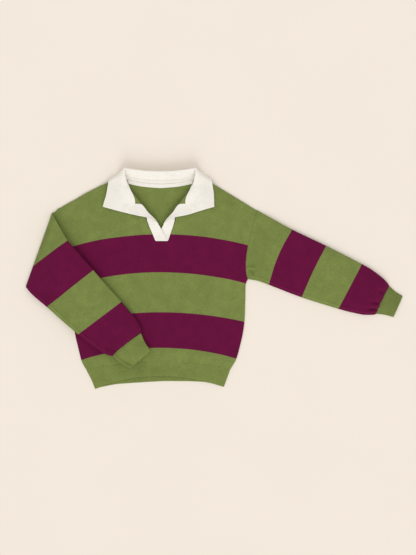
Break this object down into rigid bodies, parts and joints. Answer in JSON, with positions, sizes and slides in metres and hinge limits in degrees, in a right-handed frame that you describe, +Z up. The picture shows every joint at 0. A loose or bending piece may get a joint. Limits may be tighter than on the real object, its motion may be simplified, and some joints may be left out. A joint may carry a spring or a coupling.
{
  "type": "knit polo shirt",
  "caption": "Long-sleeved knit polo shirt laid flat, front up, collar open, with block stripes and one sleeve folded over the front.",
  "frame": {"origin": "middle of the shirt's bounding box on the surface that it lies on", "axes": "+X across the body towards the spread sleeve, +Y from the hem to the collar, +Z up from the surface, out of the front"},
  "size_m": [1.1268, 0.6532, 0.0204],
  "materials": {
    "body_knit": "matte",
    "sleeve_knit": "matte",
    "rib_knit": "matte",
    "collar_knit": "matte",
    "placket_knit": "matte",
    "tape": "matte"
  },
  "bodies": {
    "root": {"front": "body_knit", "back": "body_knit", "spread_sleeve": "sleeve_knit", "folded_sleeve": "sleeve_knit", "spread_cuff": "rib_knit", "folded_cuff": "rib_knit", "hem_rib": "rib_knit", "collar": "collar_knit", "placket_over": "placket_knit", "placket_under": "placket_knit", "neck_tape": "tape"}
  },
  "joints": []
}
